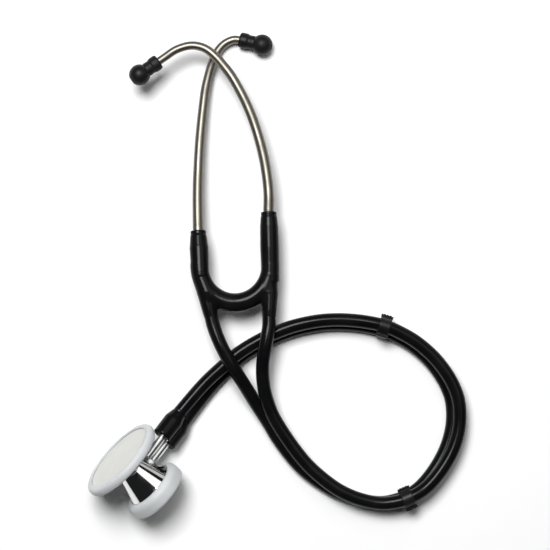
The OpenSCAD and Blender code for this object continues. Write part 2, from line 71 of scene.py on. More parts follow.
camera_data = bpy.data.cameras.new("camera")
camera_data.sensor_width = SENSOR_WIDTH
camera_data.lens = SENSOR_WIDTH * VIEW_DISTANCE / VIEW_WIDTH
camera_data.clip_start, camera_data.clip_end = 0.05, 20
camera = bpy.data.objects.new("camera", camera_data)
bpy.context.scene.collection.objects.link(camera)
back = Vector((0, -math.cos(VIEW_ELEVATION), math.sin(VIEW_ELEVATION)))
camera.location = VIEW_TARGET + VIEW_DISTANCE * back
camera.rotation_mode = "QUATERNION"
camera.rotation_quaternion = (-back).to_track_quat("-Z", "Y")
bpy.context.scene.camera = camera


# ---------------------------------------------------------------- routes


def spline(points, steps):
    """A smooth curve through the points, with steps points to each stretch."""
    p = np.asarray(points, float)
    ends = np.vstack([p[:1], p, p[-1:]])
    out = []
    for i in range(len(p) - 1):
        a, b, c, d = ends[i : i + 4]
        for k in range(steps):
            t = k / steps
            square = (2 * a - 5 * b + 4 * c - d) * t**2
            cube = (3 * b - a - 3 * c + d) * t**3
            out.append(0.5 * (2 * b + (c - a) * t + square + cube))
    return np.array(out + [p[-1]])


def extended(line, before, after):
    """The line, run on straight at both ends."""
    first = line[0] - before * unit(line[1] - line[0])
    last = line[-1] + after * unit(line[-1] - line[-2])
    return np.vstack([first, line, last])


HOSE_R = 0.004
HOSE_PITCH = 0.0084
TABLE_GAP = 0.0003

# Where each hose leaves the yoke, and where its moulded neck begins, in millimetres
LEFT_EXIT, RIGHT_EXIT = (15.6, -26.5, 20), (49.6, -26.5, 20.2)
LEFT_ROOT, RIGHT_ROOT = (9.2, 0, 19), (50.5, 0, 19)
STRAIGHT_START, STRAIGHT_END = 5, 2.5
# The hoses leave the yoke one by one: x, y, z in millimetres
LEFT_LEAD = [
    (19.6, -39, 20.7), (23.1, -46.5, 20.9), (27.3, -54, 20.2),
    (32.1, -61.5, 17.5), (36.8, -69, 13.4), (41.6, -76.8, 9.1),
]
RIGHT_LEAD = [
    (48.4, -38, 20.9), (47.1, -45, 20.6), (45.9, -53, 19.1),
    (45.8, -61, 17), (46.8, -69, 15.1), (49, -77, 13.9),
]
# Then they run as a pair along this middle line: x, y, lean of the pair in degrees, lift
PAIR = [
    (50.3, -86, -32, 1.6), (58, -98.5, -32, 0.3), (69, -112.5, -28, 0),
    (80, -122, -20, 0), (91, -129, -12, 0), (103, -133.5, -5, 0), (116, -135.5, 0, 0.3),
    (127.2, -133.6, 5, 0.9), (134.2, -130.6, 8, 0.9), (142, -124.8, 15, 0.3),
    (150, -115, 20, 0), (156.5, -103, 24, 0), (160, -90, 25, 0), (160, -77, 24, 0),
    (157, -67, 22, 0), (151.5, -57.5, 20, 0), (144, -48.5, 18, 0), (133.5, -40, 17, 0.3),
    (121, -33.5, 16, 0.9), (114, -31.3, 16, 0.9), (103, -29.3, 15, 0.3),
    (90, -28.5, 15, 0), (77, -29.5, 15, 0), (62, -33, 15, 0), (46.5, -39.5, 15, 0),
    (33, -47.5, 16, 0), (22.5, -56.7, 20, 0), (12, -67.3, 27, 0.1),
]
LOWER_CLIP_FROM = 7
UPPER_CLIP_FROM = 18


def tangent(line, i):
    return unit(line[min(i + 1, len(line) - 1)] - line[max(i - 1, 0)])


def pair_offset(direction, lean):
    """From the pair's middle to its upper hose, for a pair that runs along direction."""
    side = unit(np.cross(direction, (0, 0, 1)))
    up = np.cross(side, direction)
    lean = math.radians(lean)
    return HOSE_PITCH / 2 * (math.sin(lean) * side + math.cos(lean) * up)


def pair_height(lean, lift):
    """The height of the pair's middle when its lower hose lies on the table, plus a lift."""
    return TABLE_GAP + HOSE_R + HOSE_PITCH / 2 * math.cos(math.radians(lean)) + lift * MM


middle = np.array([(x * MM, y * MM, pair_height(lean, lift)) for x, y, lean, lift in PAIR])

# The stems' own frame: origin in the head's centre, X along the stems
head_centre = np.array(joints["chestpiece_turn"]["pos_m"])
stem_axis = unit(joints["chestpiece_turn"]["axis"])
head_axis = unit(mounts["diaphragm_face"]["axis"])
PAIR_LEAN = 34
STEM_PITCH = 0.0066
STEMS_OFF_CENTRE = 0.0014  # sideways, as in the photo
CUFF_START = 0.026
CUFF_LENGTH = 0.0175


def stem_point(station, side, pitch=HOSE_PITCH):
    """A point on one of the two axes that run along the stems."""
    across = side * pitch / HOSE_PITCH * pair_offset(-stem_axis, PAIR_LEAN)
    off_centre = STEMS_OFF_CENTRE * unit(np.cross((0, 0, 1), stem_axis))
    return head_centre + station * stem_axis + across + off_centre


def hose_line(root, way_out, lead, side):
    """Straight out of the neck, along the lead and the pair, and straight into the cuff."""
    way_out, root = MM * np.array(way_out), MM * np.array(root)
    start = [way_out, way_out + STRAIGHT_START * MM * unit(way_out - root)]
    pair = [
        middle[i] + side * pair_offset(tangent(middle, i), PAIR[i][2])
        for i in range(len(PAIR))
    ]
    cuff_end = CUFF_START + CUFF_LENGTH
    finish = [stem_point(cuff_end + STRAIGHT_END * MM, side), stem_point(cuff_end, side)]
    return np.vstack([start, MM * np.array(lead), pair, finish])


left_hose_line = hose_line(LEFT_ROOT, LEFT_EXIT, LEFT_LEAD, -1)
right_hose_line = hose_line(RIGHT_ROOT, RIGHT_EXIT, RIGHT_LEAD, 1)


# ---------------------------------------------------------------- mesh making


def mesh_object(name, verts, faces, uv=None):
    """A new smooth-shaded object; uv holds one pair for each corner of each face."""
    mesh = bpy.data.meshes.new(name)
    mesh.from_pydata([tuple(v) for v in verts], [], [tuple(f) for f in faces])
    if uv is not None:
        layer = mesh.uv_layers.new(name="UVMap")
        flat = np.array([c for face in uv for c in face], np.float32).ravel()
        layer.data.foreach_set("uv", flat)
    mesh.polygons.foreach_set("use_smooth", [True] * len(mesh.polygons))
    mesh.validate()
    mesh.update()
    obj = bpy.data.objects.new(name, mesh)
    bpy.context.scene.collection.objects.link(obj)
    return obj


def rings_mesh(name, rings, u, v, caps=(True, True)):
    """A skin over closed rings of equal count. u is given per ring and v per ring point."""
    rings = np.asarray(rings)
    count, sides = rings.shape[:2]
    verts = rings.reshape(-1, 3)
    faces, uv = [], []
    for i in range(count - 1):
        for k in range(sides):
            n = (k + 1) % sides
            a, b = i * sides, (i + 1) * sides
            faces.append((a + k, a + n, b + n, b + k))
            uv.append([(u[i], v[k]), (u[i], v[k + 1]), (u[i + 1], v[k + 1]), (u[i + 1], v[k])])
    if caps[0]:
        faces.append(tuple(reversed(range(sides))))
        uv.append([(u[0], v[k]) for k in reversed(range(sides))])
    if caps[1]:
        faces.append(tuple((count - 1) * sides + k for k in range(sides)))
        uv.append([(u[-1], v[k]) for k in range(sides)])
    return mesh_object(name, verts, faces, uv)


TUBE_SIDES = 40


def tube(name, line, radii):
    """A round tube along a line, with its UVs in metres along and around."""
    line = np.asarray(line)
    radii = np.broadcast_to(radii, len(line))
    t = tangent(line, 0)
    across = unit(np.cross(t, (0, 0, 1) if abs(t[2]) < 0.9 else (1, 0, 0)))
    turn = 2 * np.pi * np.arange(TUBE_SIDES) / TUBE_SIDES
    rings = []
    for i, (p, r) in enumerate(zip(line, radii)):
        t = tangent(line, i)
        across = unit(across - (across @ t) * t)
        up = np.cross(t, across)
        rings.append(p + r * (np.outer(np.cos(turn), across) + np.outer(np.sin(turn), up)))
    run = np.concatenate([[0], np.cumsum(np.linalg.norm(np.diff(line, axis=0), axis=1))])
    around = 2 * np.pi * radii[0] * np.arange(TUBE_SIDES + 1) / TUBE_SIDES
    return rings_mesh(name, rings, run, around)


def rounded(outline, radius, steps):
    """The outline with each inner corner replaced by a small curve."""
    p = np.asarray(outline, float)
    out = [p[0]]
    for a, b, c in zip(p[:-2], p[1:-1], p[2:]):
        before = min(radius, np.linalg.norm(b - a) / 2)
        after = min(radius, np.linalg.norm(c - b) / 2)
        start, end = b + before * unit(a - b), b + after * unit(c - b)
        for k in range(steps + 1):
            t = k / steps
            out.append((1 - t) ** 2 * start + 2 * t * (1 - t) * b + t**2 * end)
    return np.array(out + [p[-1]])


def lathe(name, outline, place, sides, closed=False):
    """A turned piece: the outline holds radius and height along the place's own Z."""
    outline = np.asarray(outline, float)
    if closed:
        outline = np.vstack([outline, outline[:1]])
    turn = 2 * np.pi * np.arange(sides) / sides
    rings = [
        np.stack([r * np.cos(turn), r * np.sin(turn), np.full(sides, z)], -1)
        for r, z in outline
    ]
    rings = np.array(rings) @ np.array(place.to_3x3()).T + np.array(place.translation)
    run = np.concatenate([[0], np.cumsum(np.linalg.norm(np.diff(outline, axis=0), axis=1))])
    around = 2 * np.pi * outline[:, 0].max() * np.arange(sides + 1) / sides
    caps = (not closed and outline[0, 0] > 1e-6, not closed and outline[-1, 0] > 1e-6)
    obj = rings_mesh(name, rings, run, around, caps)
    weld(obj)
    return obj


WELD_DISTANCE = 1e-6


def weld(obj):
    """Joins the points that a turned outline leaves doubled on its axis."""
    bm = bmesh.new()
    bm.from_mesh(obj.data)
    bmesh.ops.remove_doubles(bm, verts=bm.verts, dist=WELD_DISTANCE)
    bmesh.ops.dissolve_degenerate(bm, edges=bm.edges, dist=WELD_DISTANCE)
    bmesh.ops.recalc_face_normals(bm, faces=bm.faces)
    bm.to_mesh(obj.data)
    bm.free()


def place_of(origin, x, z):
    """A frame with the given origin, X and Z directions."""
    x, z = unit(x), unit(z)
    y = np.cross(z, x)
    m = Matrix.Identity(4)
    for k in range(3):
        m[k][0], m[k][1], m[k][2], m[k][3] = x[k], y[k], z[k], origin[k]
    return m


# ---- Smooth solids from distance fields, in metres; a field is negative inside


def smooth_min(a, b, k):
    """The union of two fields, with a fillet about k wide."""
    h = np.clip(0.5 + 0.5 * (b - a) / k, 0, 1)
    return b * (1 - h) + a * h - k * h * (1 - h)


def smooth_max(a, b, k):
    """What two fields have in common, with edges rounded about k wide."""
    return -smooth_min(-a, -b, k)


def axis_field(points, origin, direction):
    """Distance along an axis, and distance from it."""
    d = points - np.asarray(origin)
    along = d @ np.asarray(direction)
    return along, np.linalg.norm(d - np.outer(along, direction), axis=1)


def rod_field(points, origin, direction, stations, radii, edge):
    """A turned rod between the first and last station, with rounded ends."""
    along, away = axis_field(points, origin, direction)
    side = away - np.interp(along, stations, radii)
    ends = np.maximum(stations[0] - along, along - stations[-1])
    return smooth_max(side, ends, edge)


GRADIENT_STEP = 2e-5


def gradient(field, points):
    out = np.empty_like(points)
    for k in range(3):
        d = np.zeros(3)
        d[k] = GRADIENT_STEP
        out[:, k] = (field(points + d) - field(points - d)) / (2 * GRADIENT_STEP)
    return out


SETTLING_ROUNDS = 3
STEPS_TO_SURFACE = 4
LEAST_SLOPE_SQUARED = 0.05


def isosurface(name, field, low, high, cell, shade=None):
    """A closed mesh of quads where field is zero, with normals from the shade field."""
    low, high = np.asarray(low, float), np.asarray(high, float)
    counts = np.ceil((high - low) / cell).astype(int) + 1
    axes = [low[k] + cell * np.arange(counts[k]) for k in range(3)]
    grid = np.stack(np.meshgrid(*axes, indexing="ij"), -1).reshape(-1, 3)
    inside = (field(grid) < 0).reshape(counts)
    corner_sum = sum(
        inside[
            i : counts[0] - 1 + i, j : counts[1] - 1 + j, k : counts[2] - 1 + k
        ].astype(int)
        for i in (0, 1) for j in (0, 1) for k in (0, 1)
    )
    mixed = (corner_sum > 0) & (corner_sum < 8)
    index = np.full(mixed.shape, -1)
    index[mixed] = np.arange(mixed.sum())
    verts = low + cell * (np.argwhere(mixed) + 0.5)
    quads = []
    for axis in range(3):
        a, b = (axis + 1) % 3, (axis + 2) % 3
        first = np.take(inside, range(counts[axis] - 1), axis)
        second = np.take(inside, range(1, counts[axis]), axis)
        where = np.argwhere(first != second)
        where = where[(where[:, a] > 0) & (where[:, b] > 0)]
        ring = []
        for da, db in ((-1, -1), (0, -1), (0, 0), (-1, 0)):
            cellpos = where.copy()
            cellpos[:, a] += da
            cellpos[:, b] += db
            ring.append(index[tuple(cellpos.T)])
        quad = np.stack(ring, -1)
        outward = first[tuple(where.T)]
        quad[~outward] = quad[~outward][:, ::-1]
        quads.append(quad)
    quads = np.vstack(quads)
    neighbours = np.vstack([quads[:, [k, (k + 1) % 4]] for k in range(4)])
    degree = np.bincount(neighbours.ravel(), minlength=len(verts))[:, None]
    for i in range(SETTLING_ROUNDS):
        for _ in range(STEPS_TO_SURFACE):
            value = field(verts)[:, None]
            slope = gradient(field, verts)
            steepness = np.maximum((slope**2).sum(1)[:, None], LEAST_SLOPE_SQUARED)
            step = value * slope / steepness
            verts = verts - np.clip(step, -cell, cell)
        if i < SETTLING_ROUNDS - 1:
            total = np.zeros_like(verts)
            np.add.at(total, neighbours[:, 0], verts[neighbours[:, 1]])
            np.add.at(total, neighbours[:, 1], verts[neighbours[:, 0]])
            verts = 0.5 * verts + 0.5 * total / degree
    obj = mesh_object(name, verts, quads)
    placed = np.array([v.co for v in obj.data.vertices])
    normals = gradient(shade or field, placed)
    normals /= np.linalg.norm(normals, axis=1)[:, None] + 1e-9  # never divides by zero
    obj.data.normals_split_custom_set_from_vertices(normals.tolist())
    return obj


# ---------------------------------------------------------------- materials


def new_material(name, **values):
    """A principled material; the values are set on the shader's own sockets."""
    material = bpy.data.materials.new(name)
    material.use_nodes = True
    shader = material.node_tree.nodes["Principled BSDF"]
    for key, value in values.items():
        shader.inputs[key.replace("_", " ")].default_value = value
    return material, material.node_tree, shader


EVEN = (1, 1, 1)


def texture(tree, kind, scale, seed=0.0, detail=0.0, stretch=EVEN, space="Object"):
    """A noise or cell texture with scale features to the metre, in object or UV space."""
    nodes, links = tree.nodes, tree.links
    coordinate = nodes.new("ShaderNodeTexCoord")
    mapping = nodes.new("ShaderNodeMapping")
    mapping.inputs["Scale"].default_value = [scale * s for s in stretch]
    mapping.inputs["Location"].default_value = (seed, 1.7 * seed, 2.3 * seed)
    links.new(coordinate.outputs[space], mapping.inputs["Vector"])
    node = nodes.new("ShaderNodeTexNoise" if kind == "noise" else "ShaderNodeTexVoronoi")
    node.inputs["Scale"].default_value = 1.0
    if kind == "noise":
        node.inputs["Detail"].default_value = detail
    links.new(mapping.outputs["Vector"], node.inputs["Vector"])
    return node.outputs["Fac" if kind == "noise" else "Distance"]


def ranged(tree, value, low, high, to_low=0.0, to_high=1.0):
    node = tree.nodes.new("ShaderNodeMapRange")
    node.inputs["From Min"].default_value = low
    node.inputs["From Max"].default_value = high
    node.inputs["To Min"].default_value = to_low
    node.inputs["To Max"].default_value = to_high
    tree.links.new(value, node.inputs["Value"])
    return node.outputs["Result"]


def mixed_colour(tree, factor, a, b):
    """Colour a where factor is 0 and b where it is 1; a and b are colours or sockets."""
    node = tree.nodes.new("ShaderNodeMix")
    node.data_type = "RGBA"
    tree.links.new(factor, node.inputs[0])
    for socket, value in ((node.inputs[6], a), (node.inputs[7], b)):
        if isinstance(value, tuple):
            socket.default_value = (*value, 1)
        else:
            tree.links.new(value, socket)
    return node.outputs[2]


def bumped(tree, height, depth, normal=None, strength=1.0):
    node = tree.nodes.new("ShaderNodeBump")
    node.inputs["Strength"].default_value = strength
    node.inputs["Distance"].default_value = depth
    tree.links.new(height, node.inputs["Height"])
    if normal is not None:
        tree.links.new(normal, node.inputs["Normal"])
    return node.outputs["Normal"]


def rubber(name, colour, worn, rough, dust, grain=1800, grain_depth=2e-5, **values):
    """Moulded rubber: cloudy colour, a fine grain, a slow waviness and settled dust."""
    material, tree, shader = new_material(name, **values)
    clouds = texture(tree, "noise", 70, detail=4)
    fine = texture(tree, "noise", grain, detail=2, seed=3)
    wave = texture(tree, "noise", 110, detail=1, seed=5)
    specks = texture(tree, "noise", 2600, detail=1, seed=9)
    base = mixed_colour(tree, ranged(tree, clouds, 0.35, 0.7), colour, worn)
    lint = ranged(tree, specks, 0.74, 0.8, 0.0, dust)
    lint_colour = tuple(min(1.0, c * 1.6 + 0.05) for c in worn)
    tree.links.new(mixed_colour(tree, lint, base, lint_colour), shader.inputs["Base Color"])
    tree.links.new(
        ranged(tree, clouds, 0.3, 0.7, rough[0], rough[1]), shader.inputs["Roughness"]
    )
    normal = bumped(tree, wave, 1.2e-4, strength=0.35)
    tree.links.new(bumped(tree, fine, grain_depth, normal), shader.inputs["Normal"])
    return material


def metal(name, colour, tint, rough, streak_depth, stretch=None):
    """Bare metal: faint smudges, hairline scratches, and brushing where stretch is given."""
    material, tree, shader = new_material(name, Metallic=1.0)
    smudge = texture(tree, "noise", 120, detail=4, seed=2)
    hair = texture(tree, "noise", 900, stretch=(1, 9, 1), detail=2, seed=6)
    if stretch:
        lines = texture(tree, "noise", 1.0, stretch=stretch, detail=3, space="UV", seed=4)
    else:
        lines = texture(tree, "noise", 900, detail=3, seed=4)
    tree.links.new(
        mixed_colour(tree, ranged(tree, smudge, 0.35, 0.7), colour, tint),
        shader.inputs["Base Color"],
    )
    wear = ranged(tree, smudge, 0.4, 0.75, rough[0], rough[1])
    scratch = ranged(tree, hair, 0.62, 0.75, 0.0, 0.08)
    total = tree.nodes.new("ShaderNodeMath")
    total.operation = "ADD"
    tree.links.new(wear, total.inputs[0])
    tree.links.new(scratch, total.inputs[1])
    tree.links.new(total.outputs[0], shader.inputs["Roughness"])
    tree.links.new(bumped(tree, lines, streak_depth), shader.inputs["Normal"])
    return material


hose_rubber = rubber(
    "hose_rubber", (0.0035, 0.0035, 0.0040), (0.006, 0.006, 0.0065), (0.15, 0.20),
    grain=1500, grain_depth=2e-6, dust=0.08, Specular_IOR_Level=0.105,
)
moulded_rubber = rubber(
    "moulded_rubber", (0.004, 0.004, 0.0045), (0.007, 0.007, 0.0075), (0.16, 0.22),
    grain=1300, grain_depth=2e-6, dust=0.08, Specular_IOR_Level=0.105,
)
tip_rubber = rubber(
    "tip_rubber", (0.004, 0.004, 0.004), (0.008, 0.008, 0.008), (0.38, 0.52),
    grain=2200, grain_depth=2e-5, dust=0.25, Specular_IOR_Level=0.2,
)
clip_plastic = rubber(
    "clip_plastic", (0.005, 0.005, 0.0055), (0.010, 0.010, 0.0105), (0.3, 0.42),
    grain=1700, grain_depth=8e-6, dust=0.12, Specular_IOR_Level=0.2,
)
rim_rubber = rubber(
    "rim_rubber", (0.53, 0.548, 0.56), (0.59, 0.605, 0.615), (0.4, 0.5),
    grain=1600, grain_depth=6e-6, dust=0.1, Subsurface_Weight=0.15,
    Subsurface_Radius=(0.002, 0.002, 0.002), Specular_IOR_Level=0.3,
)
seal_rubber = rubber(
    "seal_rubber", (0.02, 0.02, 0.02), (0.03, 0.03, 0.03), (0.4, 0.5), dust=0.1
)
ear_tube_steel = metal(
    "ear_tube_steel", (0.21, 0.195, 0.168), (0.18, 0.17, 0.146), (0.38, 0.46),
    stretch=(40, 2600, 1), streak_depth=2e-6,
)
chrome = metal(
    "chrome", (0.80, 0.80, 0.79), (0.76, 0.76, 0.75), (0.05, 0.10), streak_depth=1e-7
)
satin_chrome = metal(
    "satin_chrome", (0.74, 0.74, 0.73), (0.68, 0.68, 0.67), (0.28, 0.36), streak_depth=1e-7
)
turned_metal = metal(
    "turned_metal", (0.62, 0.62, 0.62), (0.56, 0.56, 0.55), (0.22, 0.34),
    stretch=(2400, 60, 1), streak_depth=4e-6,
)
spring_steel = metal(
    "spring_steel", (0.45, 0.45, 0.46), (0.38, 0.38, 0.4), (0.3, 0.42), streak_depth=3e-6
)


def diaphragm_material():
    """Thin pale sheet with a fine matt tooth and light stains."""
    material, tree, shader = new_material("diaphragm_sheet", Specular_IOR_Level=0.4)
    stains = texture(tree, "noise", 55, detail=5, seed=1)
    tooth = texture(tree, "noise", 3000, detail=2, seed=8)
    weave = texture(tree, "cells", 1900, seed=11)
    base = mixed_colour(
        tree, ranged(tree, stains, 0.35, 0.7), (0.60, 0.605, 0.575), (0.66, 0.665, 0.635)
    )
    tree.links.new(base, shader.inputs["Base Color"])
    tree.links.new(ranged(tree, stains, 0.3, 0.7, 0.42, 0.55), shader.inputs["Roughness"])
    normal = bumped(tree, weave, 5e-6)
    tree.links.new(bumped(tree, tooth, 8e-6, normal), shader.inputs["Normal"])
    return material


diaphragm_sheet = diaphragm_material()


def dress(obj, material):
    obj.data.materials.clear()
    obj.data.materials.append(material)
    return obj


def fit(obj, material, slot, body, *nodes):
    """Gives a new piece its material, the body it rides on and what it stands for; slot is not
    used.
    """
    dress(obj, material)
    if body:
        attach(obj, body)
    if nodes:
        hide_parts(*nodes)
    return obj


ROOT = "yoke_and_hoses"

# ---------------------------------------------------------------- hoses


HOSE_STEPS = 6
HOSE_TUCK = 0.002  # each end runs on inside the neck and the cuff


def hose_piece(name, line, node):
    path = extended(spline(line, HOSE_STEPS), HOSE_TUCK, HOSE_TUCK)
    obj = tube(name, path, HOSE_R)
    return fit(obj, hose_rubber, "hose_rubber", ROOT, node), path


left_hose, left_path = hose_piece("left_hose_tube", left_hose_line, "left_hose")
right_hose, right_path = hose_piece("right_hose_tube", right_hose_line, "right_hose")

# ---- Clips


CLIP_WALL = 0.0009
CLIP_GAP = 0.0001
CLIP_WIDTH = 0.007
TAB_REACH, TAB_T = 0.0022, 0.0016
RIB_DEPTH, RIB_PITCH = 0.00018, 0.0018
CLIP_CELL = 0.00042


def clip_piece(name, start, node):
    """A band round both hoses, with a ribbed grip tab on each side."""
    run = middle[start + 1] - middle[start]
    travel = unit(run)
    centre = middle[start] + run / 2
    lean = (PAIR[start][2] + PAIR[start + 1][2]) / 2
    up = unit(pair_offset(travel, lean))
    side = np.cross(travel, up)
    half, outer = HOSE_PITCH / 2, HOSE_R + CLIP_WALL

    def field(points):
        d = points - centre
        x, y, z = d @ travel, d @ side, d @ up
        hull = np.hypot(y, np.maximum(np.abs(z) - half, 0)) - outer
        tab = np.maximum(np.abs(y) - outer - TAB_REACH, np.abs(z - half) - TAB_T / 2)
        body = smooth_min(hull, tab, 0.0012)
        bores = np.minimum(np.hypot(y, z - half), np.hypot(y, z + half)) - HOSE_R - CLIP_GAP
        body = smooth_max(body, -bores, 0.0004)
        on_tab = np.clip((np.abs(y) - outer) / 0.0006, 0, 1)
        ribs = RIB_DEPTH * np.cos(x * 2 * np.pi / RIB_PITCH) * on_tab
        return smooth_max(body, np.abs(x) - CLIP_WIDTH / 2, 0.0008) - ribs

    reach = np.array([0.0125, 0.0125, 0.0105])
    obj = isosurface(name, field, centre - reach, centre + reach, CLIP_CELL)
    return fit(obj, clip_plastic, "clip_plastic", ROOT, node)


upper_clip = clip_piece("upper_clip_band", UPPER_CLIP_FROM, "upper_hose_clip")
lower_clip = clip_piece("lower_clip_band", LOWER_CLIP_FROM, "lower_hose_clip")

# ---- Cuffs, the thick moulded ends side by side on the two stems

CUFF_R = 0.0058
CUFF_GAP = 0.0003
STEM_R = 0.0026
STEM_BORE_DEPTH = 0.012
CUFF_CELL = 0.0005


def cuff_piece(name, side, node):
    """A D-shaped sleeve that narrows to the hose, with a lip at the stem's end."""
    origin = stem_point(CUFF_START, side)
    stem = stem_point(CUFF_START, side, STEM_PITCH)
    toward = -side * unit(pair_offset(-stem_axis, PAIR_LEAN))
    end = CUFF_LENGTH

    def field(points):
        along, away = axis_field(points, origin, stem_axis)
        profile = np.interp(
            along,
            [0, 0.0012, 0.002, end - 0.0055, end - 0.0035, end - 0.0012, end + 0.001],
            [
                CUFF_R - 0.0003, CUFF_R, CUFF_R - 0.0001, CUFF_R, CUFF_R - 0.0005,
                HOSE_R + 0.0006, HOSE_R + 0.0003,
            ],
        )
        body = away - profile
        flat = (points - origin) @ toward - (HOSE_PITCH / 2 - CUFF_GAP / 2)
        body = smooth_max(body, flat, 0.0012)
        ends = np.maximum(-along, along - end)
        body = smooth_max(body, ends, 0.0008)
        stem_away = axis_field(points, stem, stem_axis)[1]
        bore = np.maximum(stem_away - STEM_R, along - STEM_BORE_DEPTH)
        return smooth_max(body, -bore, 0.0004)

    both_ends = np.array([origin, origin + end * stem_axis])
    low, high = both_ends.min(0) - 0.007, both_ends.max(0) + 0.007
    obj = isosurface(name, field, low, high, CUFF_CELL)
    return fit(obj, moulded_rubber, "hose_rubber", ROOT, node)


left_cuff = cuff_piece("left_cuff_sleeve", -1, "left_hose_cuff")
right_cuff = cuff_piece("right_cuff_sleeve", 1, "right_hose_cuff")

# ---------------------------------------------------------------- yoke

left_pivot = np.array(joints["left_arm_flex"]["pos_m"])
right_pivot = np.array(joints["right_arm_flex"]["pos_m"])
left_arm_axis = -unit(joints["left_tube_twist"]["axis"])
right_arm_axis = unit(joints["right_tube_twist"]["axis"])
LEFT_ARM, RIGHT_ARM = 0.019, 0.030
ARM_R, ARM_TOP_R = 0.0056, 0.0047
TUBE_R, TUBE_TIP_R = 0.0032, 0.0023
TUBE_BORE_DEPTH = 0.0125
BAND_CENTRE = np.array((0.0293, 0.0045, left_pivot[2]))
BAND_R, BAND_SECTION_R = 0.021, 0.0053
BAND_STRETCH = 1.055  # the U's lower half is this much deeper than round
NECK_R = 0.00406
HALF_OVERLAP = 0.0015
LEFT_FOOT, RIGHT_FOOT = 0.0088, 0.0110
YOKE_CELL = 0.0006


def arm_field(points, pivot, axis, length, foot):
    """A sleeve that starts foot below its flex line, inside the band."""
    stations = np.array([
        -foot, 0.003 - foot, 0.009, length - 0.0085, length - 0.003, length - 0.0022, length
    ])
    radii = np.array([
        0.0050, 0.0053, ARM_R, ARM_R - 0.0002,
        ARM_TOP_R + 0.0002, ARM_TOP_R - 0.0001, ARM_TOP_R,
    ])
    body = rod_field(points, pivot, axis, stations, radii, 0.0006)
    along, away = axis_field(points, pivot, axis)
    socket = np.maximum(away - TUBE_R - 0.00005, length - TUBE_BORE_DEPTH - along)
    return body, socket


def yoke_field(points):
    """The U-shaped band, both sleeves and both necks, with the sleeves' sockets cut out."""
    d = points - BAND_CENTRE
    low_side = d[:, 1] < 0
    d[:, 1] = np.where(low_side, d[:, 1] / BAND_STRETCH, d[:, 1])
    ring = np.hypot(np.hypot(d[:, 0], d[:, 1]) - BAND_R, d[:, 2])
    left_end = np.linalg.norm(d - np.array((-BAND_R, 0, 0)), axis=1)
    right_end = np.linalg.norm(d - np.array((BAND_R, 0, 0)), axis=1)
    band = np.where(low_side, ring, np.minimum(left_end, right_end)) - BAND_SECTION_R
    whole = band
    sockets = None
    for pivot, axis, length, foot, way_out, root in (
        (left_pivot, left_arm_axis, LEFT_ARM, LEFT_FOOT, LEFT_EXIT, LEFT_ROOT),
        (right_pivot, right_arm_axis, RIGHT_ARM, RIGHT_FOOT, RIGHT_EXIT, RIGHT_ROOT),
    ):
        arm, socket = arm_field(points, pivot, axis, length, foot)
        whole = smooth_min(whole, arm, 0.0004)
        outlet, root = MM * np.array(way_out), MM * np.array(root)
        run = np.linalg.norm(outlet - root)
        stations = np.array([0.1, 0.45, 0.85, 1]) * run
        radii = np.array([0.0039, 0.0049, 0.0044, NECK_R])
        neck = rod_field(points, root, (outlet - root) / run, stations, radii, 0.0003)
        whole = smooth_min(whole, neck, 0.0024)
        sockets = socket if sockets is None else np.minimum(sockets, socket)
    return smooth_max(whole, -sockets, 0.0005)


def yoke_half(name, side, low, high):
    """Half of the yoke. The halves share a short stretch at the bottom of the U."""

    def field(points):
        cut = side * (points[:, 0] - BAND_CENTRE[0]) + HALF_OVERLAP
        return np.maximum(yoke_field(points), -cut)

    return isosurface(
        name, field, BAND_CENTRE + low, BAND_CENTRE + high, YOKE_CELL, shade=yoke_field
    )


left_half = yoke_half(
    "yoke_left_half", -1, (-0.029, -0.034, -0.008), (0.0028, 0.024, 0.008)
)
right_half = yoke_half(
    "yoke_right_half", 1, (-0.0028, -0.034, -0.008), (0.029, 0.034, 0.008)
)
for obj, arm_body, pivot, arm_axis, nodes in (
    (left_half, "left_arm", left_pivot, left_arm_axis, ("yoke_moulding", "left_arm_sleeve")),
    (right_half, "right_arm", right_pivot, right_arm_axis, ("right_arm_sleeve",)),
):
    fit(obj, moulded_rubber, "moulded_rubber", None, *nodes)
    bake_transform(obj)

# ---------------------------------------------------------------- ear tubes and tips

# The tubes above the sleeves: x, y, z in millimetres
LEFT_TUBE = [
    (7.3, 34, 15.8), (7.1, 47, 14.5), (7.3, 60, 13.2), (7.9, 75, 11.7),
    (9, 90, 10.2), (11, 109, 8.2), (12.7, 118, 7.1), (15, 126.5, 5.9),
    (18, 134, 4.9), (22, 138.9, 4.7), (27, 141.6, 4.9), (31.2, 141.7, 5.4),
    (34.9, 140.9, 5.8),
]
RIGHT_TUBE = [
    (49.3, 46, 19.5), (48.4, 56, 19.5), (46, 70, 19.5), (41.3, 87, 19.5),
    (35.6, 101.5, 19.5), (28.3, 115.2, 19.5), (22.5, 123.2, 19.5), (17, 129.4, 19.5),
    (10.8, 133.9, 19.5), (3, 135.4, 19.5), (-5.5, 133, 19.6), (-12.5, 128.3, 19.9),
    (-18.6, 123.9, 20.2),
]
BEND_START = 0.002
TUBE_STEPS = 8
TUBE_SEAT_GAP = 0.0002


def ear_tube(name, pivot, axis, length, route, body, node):
    start = pivot + (length + BEND_START) * axis
    line = spline(np.vstack([start, MM * np.array(route)]), TUBE_STEPS)
    bottom = pivot + (length - TUBE_BORE_DEPTH + TUBE_SEAT_GAP) * axis
    share = np.linspace(0, 1, len(line))
    radii = TUBE_R + (TUBE_TIP_R - TUBE_R) * share
    line = np.vstack([bottom, line])
    radii = np.concatenate([[TUBE_R], radii])
    obj = tube(name, line, radii)
    return fit(obj, ear_tube_steel, "ear_tube_steel", body, node)


